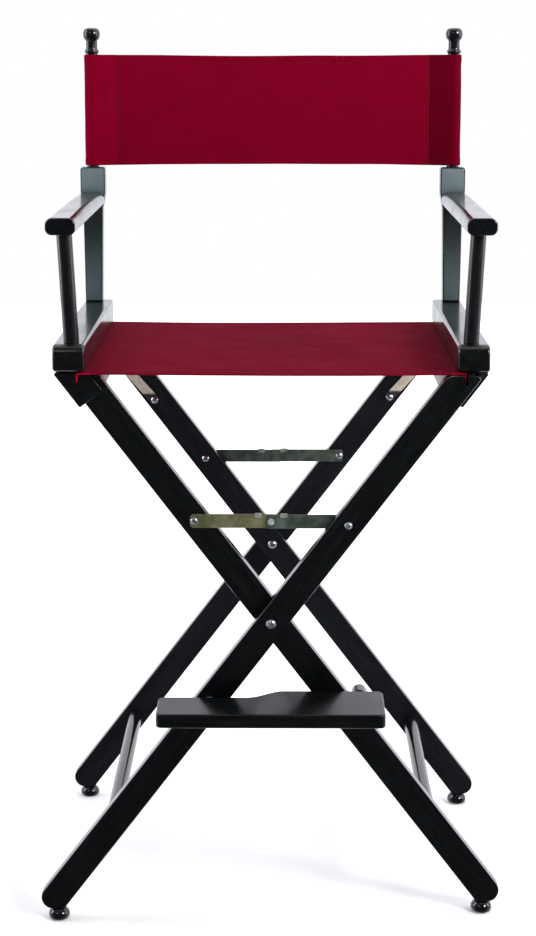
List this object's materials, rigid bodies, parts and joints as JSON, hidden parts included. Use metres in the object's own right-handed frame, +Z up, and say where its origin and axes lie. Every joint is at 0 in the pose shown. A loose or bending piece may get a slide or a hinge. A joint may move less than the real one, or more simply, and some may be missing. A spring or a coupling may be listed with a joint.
{
  "type": "director chair",
  "caption": "Tall folding wooden director chair with crossed legs, hinged arm frames, turned back posts, canvas seat and back, steel braces and a front footrest.",
  "frame": {"origin": "on the floor under the middle of the whole chair, footrest included", "axes": "+X to the right seen from the front, -Y to the front where the sitter looks, +Z up"},
  "size_m": [0.6282, 0.55, 1.209],
  "materials": {
    "black_wood": "gloss black lacquer",
    "canvas": "plain woven cotton canvas, burgundy",
    "zinc_steel": "yellowed zinc plate",
    "strap_steel": "satin tan",
    "black_steel": "satin black",
    "glide_plastic": "gloss black"
  },
  "bodies": {
    "back_left": {"back_canvas_left_half": "canvas"},
    "back_right": {"back_canvas_right_half": "canvas"},
    "footrest": {"footrest_board": "black_wood", "footrest_peg": "black_wood"},
    "outer_frame": {"footrest_hinge_spacer": "zinc_steel", "front_brace_right_screw": "zinc_steel", "outer_front_glide": "glide_plastic", "outer_front_leg": "black_wood", "outer_rear_glide": "glide_plastic", "outer_rear_leg": "black_wood", "outer_stretcher": "black_wood", "rear_brace_right_screw": "zinc_steel", "right_front_hinge_strap": "black_steel", "right_front_hinge_strap_screw": "zinc_steel", "right_rear_hinge_strap": "strap_steel", "right_rear_hinge_strap_screw": "zinc_steel", "right_seat_rail": "black_wood"},
    "front_left_brace": {"front_brace_left_link": "zinc_steel"},
    "inner_frame": {"front_brace_left_screw": "zinc_steel", "inner_front_glide": "glide_plastic", "inner_front_leg": "black_wood", "inner_rear_glide": "glide_plastic", "inner_rear_leg": "black_wood", "inner_stretcher": "black_wood", "left_front_hinge_strap": "black_steel", "left_front_hinge_strap_screw": "zinc_steel", "left_rear_hinge_strap": "strap_steel", "left_rear_hinge_strap_screw": "zinc_steel", "left_seat_rail": "black_wood", "rear_brace_left_screw": "zinc_steel"},
    "front_right_brace": {"front_brace_right_link": "zinc_steel", "front_brace_rivet": "zinc_steel"},
    "pivots": {"front_pivot_bolt": "zinc_steel", "front_pivot_spacer": "zinc_steel", "rear_pivot_bolt": "zinc_steel", "rear_pivot_spacer": "zinc_steel"},
    "left_arm": {"left_arm_base": "black_wood", "left_armrest": "black_wood", "left_back_post": "black_wood", "left_front_hinge_pin": "zinc_steel", "left_front_post": "black_wood", "left_rear_hinge_pin": "zinc_steel"},
    "rear_left_brace": {"rear_brace_left_link": "zinc_steel"},
    "rear_right_brace": {"rear_brace_right_link": "zinc_steel", "rear_brace_rivet": "zinc_steel"},
    "right_arm": {"right_arm_base": "black_wood", "right_armrest": "black_wood", "right_back_post": "black_wood", "right_front_hinge_pin": "zinc_steel", "right_front_post": "black_wood", "right_rear_hinge_pin": "zinc_steel"},
    "seat_left": {"seat_canvas_left_half": "canvas"},
    "seat_right": {"seat_canvas_right_half": "canvas"}
  },
  "joints": [
    {"name": "fold", "type": "hinge", "parent": "pivots", "child": "outer_frame", "pos_m": [0, 0.029, 0.42], "axis": [0, -1, 0], "range_deg": [0, 32.8], "deforming": ["seat_canvas_left_half", "seat_canvas_right_half", "back_canvas_left_half", "back_canvas_right_half"]},
    {"name": "inner_fold", "type": "hinge", "parent": "pivots", "child": "inner_frame", "pos_m": [0, 0.029, 0.42], "axis": [0, 1, 0], "range_deg": [0, 32.9]},
    {"name": "right_arm_hinge", "type": "hinge", "parent": "outer_frame", "child": "right_arm", "pos_m": [0.284, 0.029, 0.764], "axis": [0, 1, 0], "range_deg": [0, 32.9]},
    {"name": "left_arm_hinge", "type": "hinge", "parent": "inner_frame", "child": "left_arm", "pos_m": [-0.284, 0.029, 0.764], "axis": [0, -1, 0], "range_deg": [0, 32.9]},
    {"name": "front_left_brace_hinge", "type": "hinge", "parent": "inner_frame", "child": "front_left_brace", "pos_m": [-0.10278, -0.1775, 0.55541], "axis": [0, -1, 0], "range_deg": [0, 115.7]},
    {"name": "front_right_brace_hinge", "type": "hinge", "parent": "outer_frame", "child": "front_right_brace", "pos_m": [0.10278, -0.1775, 0.55541], "axis": [0, 1, 0], "range_deg": [0, 115.7]},
    {"name": "rear_left_brace_hinge", "type": "hinge", "parent": "inner_frame", "child": "rear_left_brace", "pos_m": [-0.10278, 0.2355, 0.55541], "axis": [0, -1, 0], "range_deg": [0, 115.7]},
    {"name": "rear_right_brace_hinge", "type": "hinge", "parent": "outer_frame", "child": "rear_right_brace", "pos_m": [0.10278, 0.2355, 0.55541], "axis": [0, 1, 0], "range_deg": [0, 115.7]},
    {"name": "seat_left_fold", "type": "hinge", "parent": "inner_frame", "child": "seat_left", "pos_m": [-0.237, 0.029, 0.7585], "axis": [0, -1, 0], "range_deg": [0, 119.1]},
    {"name": "seat_middle_fold", "type": "hinge", "parent": "seat_left", "child": "seat_right", "pos_m": [0, 0.029, 0.7585], "axis": [0, 1, 0], "range_deg": [0, 172.5]},
    {"name": "back_left_fold", "type": "hinge", "parent": "left_arm", "child": "back_left", "pos_m": [-0.272, 0.241, 1.08625], "axis": [0, 0, 1], "range_deg": [0, 81.6]},
    {"name": "back_middle_fold", "type": "hinge", "parent": "back_left", "child": "back_right", "pos_m": [0, 0.241, 1.08625], "axis": [0, 0, -1], "range_deg": [0, 163.1]},
    {"name": "footrest_swing", "type": "hinge", "parent": "outer_frame", "child": "footrest", "pos_m": [-0.08311, -0.2045, 0.3105], "axis": [0, -1, 0], "range_deg": [0, 24]}
  ],
  "couplings": [
    {"joint": "inner_fold", "follows": "fold", "ratio": 1},
    {"joint": "right_arm_hinge", "follows": "fold", "ratio": 1},
    {"joint": "left_arm_hinge", "follows": "fold", "ratio": 1},
    {"joint": "front_left_brace_hinge", "follows": "fold", "ratio": 3.5216},
    {"joint": "front_right_brace_hinge", "follows": "fold", "ratio": 3.5216},
    {"joint": "rear_left_brace_hinge", "follows": "fold", "ratio": 3.5216},
    {"joint": "rear_right_brace_hinge", "follows": "fold", "ratio": 3.5216},
    {"joint": "seat_left_fold", "follows": "fold", "ratio": 3.627},
    {"joint": "seat_middle_fold", "follows": "fold", "ratio": 5.254},
    {"joint": "back_left_fold", "follows": "fold", "ratio": 2.4837},
    {"joint": "back_middle_fold", "follows": "fold", "ratio": 4.9673}
  ]
}
